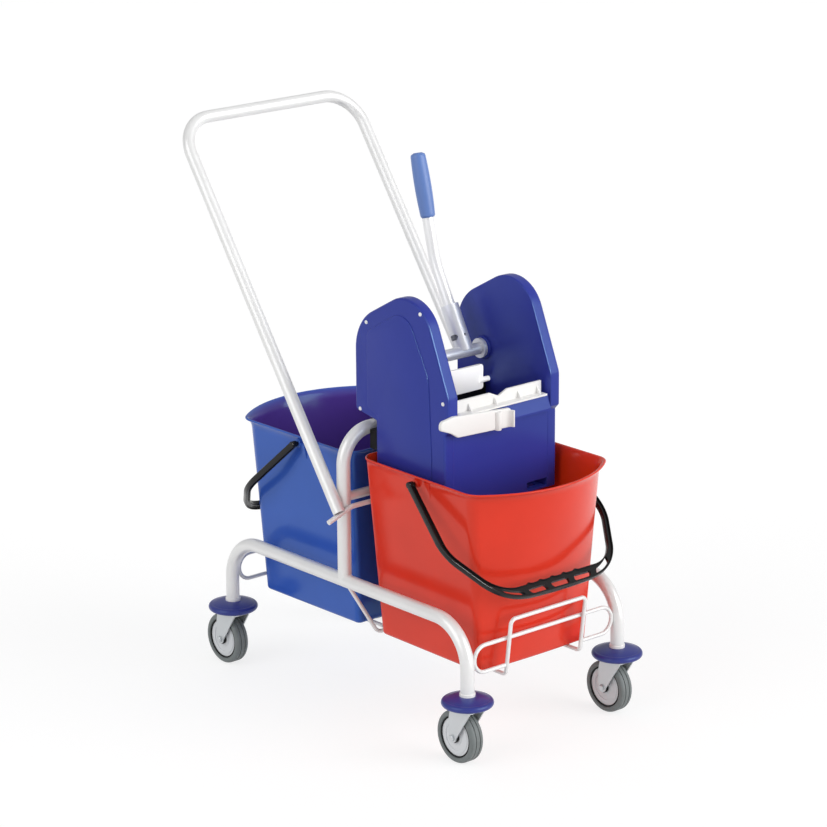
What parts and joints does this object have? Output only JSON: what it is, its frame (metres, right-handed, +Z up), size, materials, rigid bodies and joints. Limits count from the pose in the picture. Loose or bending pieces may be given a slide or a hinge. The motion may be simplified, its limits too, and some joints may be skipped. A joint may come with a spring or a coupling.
{
  "type": "double bucket mop trolley",
  "caption": "Mop trolley with a red and a blue bucket on a chrome tube chassis, a press wringer with a lever, a push handle and swivel casters.",
  "frame": {"origin": "on the floor below the middle of the trolley's bounding box", "axes": "+X forwards from the push handle to the red bucket, +Y to the left side, +Z up"},
  "size_m": [0.729, 0.4106, 0.92],
  "materials": {
    "frame_tube": "bright chrome plate",
    "cradle_wire": "bright chrome plate",
    "zinc_steel": "zinc plate",
    "plug_white": "satin moulded",
    "bumper_blue": "gloss",
    "wheel_black": "matt",
    "hub_grey": "satin",
    "tyre_grey": "matt rubber",
    "bucket_red": "gloss moulded",
    "bucket_blue": "gloss moulded",
    "bail_black": "satin",
    "wringer_blue": "satin moulded",
    "rivet_white": "gloss",
    "hook_black": "matt",
    "press_white": "satin moulded",
    "shaft_silver": "satin cast",
    "lever_grey": "satin",
    "grip_blue": "satin moulded"
  },
  "bodies": {
    "chassis": {"right_side_rail": "frame_tube", "left_side_rail": "frame_tube", "centre_arch": "frame_tube", "arch_brace": "frame_tube", "leg_rods": "cradle_wire", "push_handle": "frame_tube", "front_cradle_ring": "cradle_wire", "rear_cradle_ring": "cradle_wire", "front_cradle_wire": "cradle_wire", "rear_cradle_wire": "cradle_wire", "middle_hoop": "cradle_wire", "post_plugs": "plug_white", "front_right_bumper": "bumper_blue", "front_right_caster_stem": "zinc_steel", "front_left_bumper": "bumper_blue", "front_left_caster_stem": "zinc_steel", "rear_right_bumper": "bumper_blue", "rear_right_caster_stem": "zinc_steel", "rear_left_bumper": "bumper_blue", "rear_left_caster_stem": "zinc_steel"},
    "front_right_swivel": {"front_right_caster_fork": "zinc_steel", "front_right_wheel_axle": "zinc_steel"},
    "front_right_wheel": {"front_right_wheel_core": "wheel_black", "front_right_wheel_caps": "hub_grey", "front_right_tyre": "tyre_grey"},
    "front_left_swivel": {"front_left_caster_fork": "zinc_steel", "front_left_wheel_axle": "zinc_steel"},
    "front_left_wheel": {"front_left_wheel_core": "wheel_black", "front_left_wheel_caps": "hub_grey", "front_left_tyre": "tyre_grey"},
    "rear_right_swivel": {"rear_right_caster_fork": "zinc_steel", "rear_right_wheel_axle": "zinc_steel"},
    "rear_right_wheel": {"rear_right_wheel_core": "wheel_black", "rear_right_wheel_caps": "hub_grey", "rear_right_tyre": "tyre_grey"},
    "rear_left_swivel": {"rear_left_caster_fork": "zinc_steel", "rear_left_wheel_axle": "zinc_steel"},
    "rear_left_wheel": {"rear_left_wheel_core": "wheel_black", "rear_left_wheel_caps": "hub_grey", "rear_left_tyre": "tyre_grey"},
    "red_pail": {"red_bucket": "bucket_red"},
    "red_pail_handle": {"red_bail": "bail_black"},
    "blue_pail": {"blue_bucket": "bucket_blue"},
    "blue_pail_handle": {"blue_bail": "bail_black"},
    "wringer": {"wringer_body": "wringer_blue", "right_cheek_cover": "wringer_blue", "left_cheek_cover": "wringer_blue", "cheek_rivets": "rivet_white", "wringer_hooks": "hook_black", "shaft_bushes": "wringer_blue", "front_press_plate": "press_white", "front_clip_bar": "press_white"},
    "lever": {"lever_shaft": "shaft_silver", "lever_tube": "lever_grey", "lever_grip": "grip_blue", "press_arm": "press_white"},
    "press": {"rear_press_plate": "press_white", "press_backing": "hook_black", "press_pin": "zinc_steel"}
  },
  "joints": [
    {"name": "front_right_swivel_turn", "type": "hinge", "parent": "chassis", "child": "front_right_swivel", "pos_m": [0.3185, -0.16, 0.093], "axis": [0, 0, 1], "continuous": true},
    {"name": "front_right_wheel_spin", "type": "hinge", "parent": "front_right_swivel", "child": "front_right_wheel", "pos_m": [0.3015, -0.16, 0.0425], "axis": [0, 1, 0], "continuous": true},
    {"name": "front_left_swivel_turn", "type": "hinge", "parent": "chassis", "child": "front_left_swivel", "pos_m": [0.3185, 0.16, 0.093], "axis": [0, 0, 1], "continuous": true},
    {"name": "front_left_wheel_spin", "type": "hinge", "parent": "front_left_swivel", "child": "front_left_wheel", "pos_m": [0.3015, 0.16, 0.0425], "axis": [0, 1, 0], "continuous": true},
    {"name": "rear_right_swivel_turn", "type": "hinge", "parent": "chassis", "child": "rear_right_swivel", "pos_m": [-0.2655, -0.16, 0.093], "axis": [0, 0, 1], "continuous": true},
    {"name": "rear_right_wheel_spin", "type": "hinge", "parent": "rear_right_swivel", "child": "rear_right_wheel", "pos_m": [-0.2825, -0.16, 0.0425], "axis": [0, 1, 0], "continuous": true},
    {"name": "rear_left_swivel_turn", "type": "hinge", "parent": "chassis", "child": "rear_left_swivel", "pos_m": [-0.2655, 0.16, 0.093], "axis": [0, 0, 1], "continuous": true},
    {"name": "rear_left_wheel_spin", "type": "hinge", "parent": "rear_left_swivel", "child": "rear_left_wheel", "pos_m": [-0.2825, 0.16, 0.0425], "axis": [0, 1, 0], "continuous": true},
    {"name": "red_bucket_lift", "type": "slide", "parent": "chassis", "child": "red_pail", "axis": [0, 0, 1], "range_m": [0, 0.3]},
    {"name": "blue_bucket_lift", "type": "slide", "parent": "chassis", "child": "blue_pail", "axis": [-0.2961, 0, 0.9552], "range_m": [0, 0.25]},
    {"name": "red_bail_swing", "type": "hinge", "parent": "red_pail", "child": "red_pail_handle", "pos_m": [0.1735, 0, 0.415], "axis": [0, -1, 0], "range_deg": [0, 92]},
    {"name": "blue_bail_swing", "type": "hinge", "parent": "blue_pail", "child": "blue_pail_handle", "pos_m": [-0.1135, 0, 0.415], "axis": [0, 1, 0], "range_deg": [0, 125]},
    {"name": "wringer_lift", "type": "slide", "parent": "red_pail", "child": "wringer", "axis": [0, 0, 1], "range_m": [0, 0.12]},
    {"name": "lever_pull", "type": "hinge", "parent": "wringer", "child": "lever", "pos_m": [0.0695, 0, 0.569], "axis": [0, -1, 0], "range_deg": [0, 55], "stiffness_Nm_per_rad": 1.2, "springref_deg": -34.38},
    {"name": "press_swing", "type": "hinge", "parent": "lever", "child": "press", "pos_m": [0.0695, 0, 0.513], "axis": [0, -1, 0], "range_deg": [-56, 1]}
  ],
  "couplings": [
    {"joint": "press_swing", "follows": "lever_pull", "ratio": -1}
  ]
}
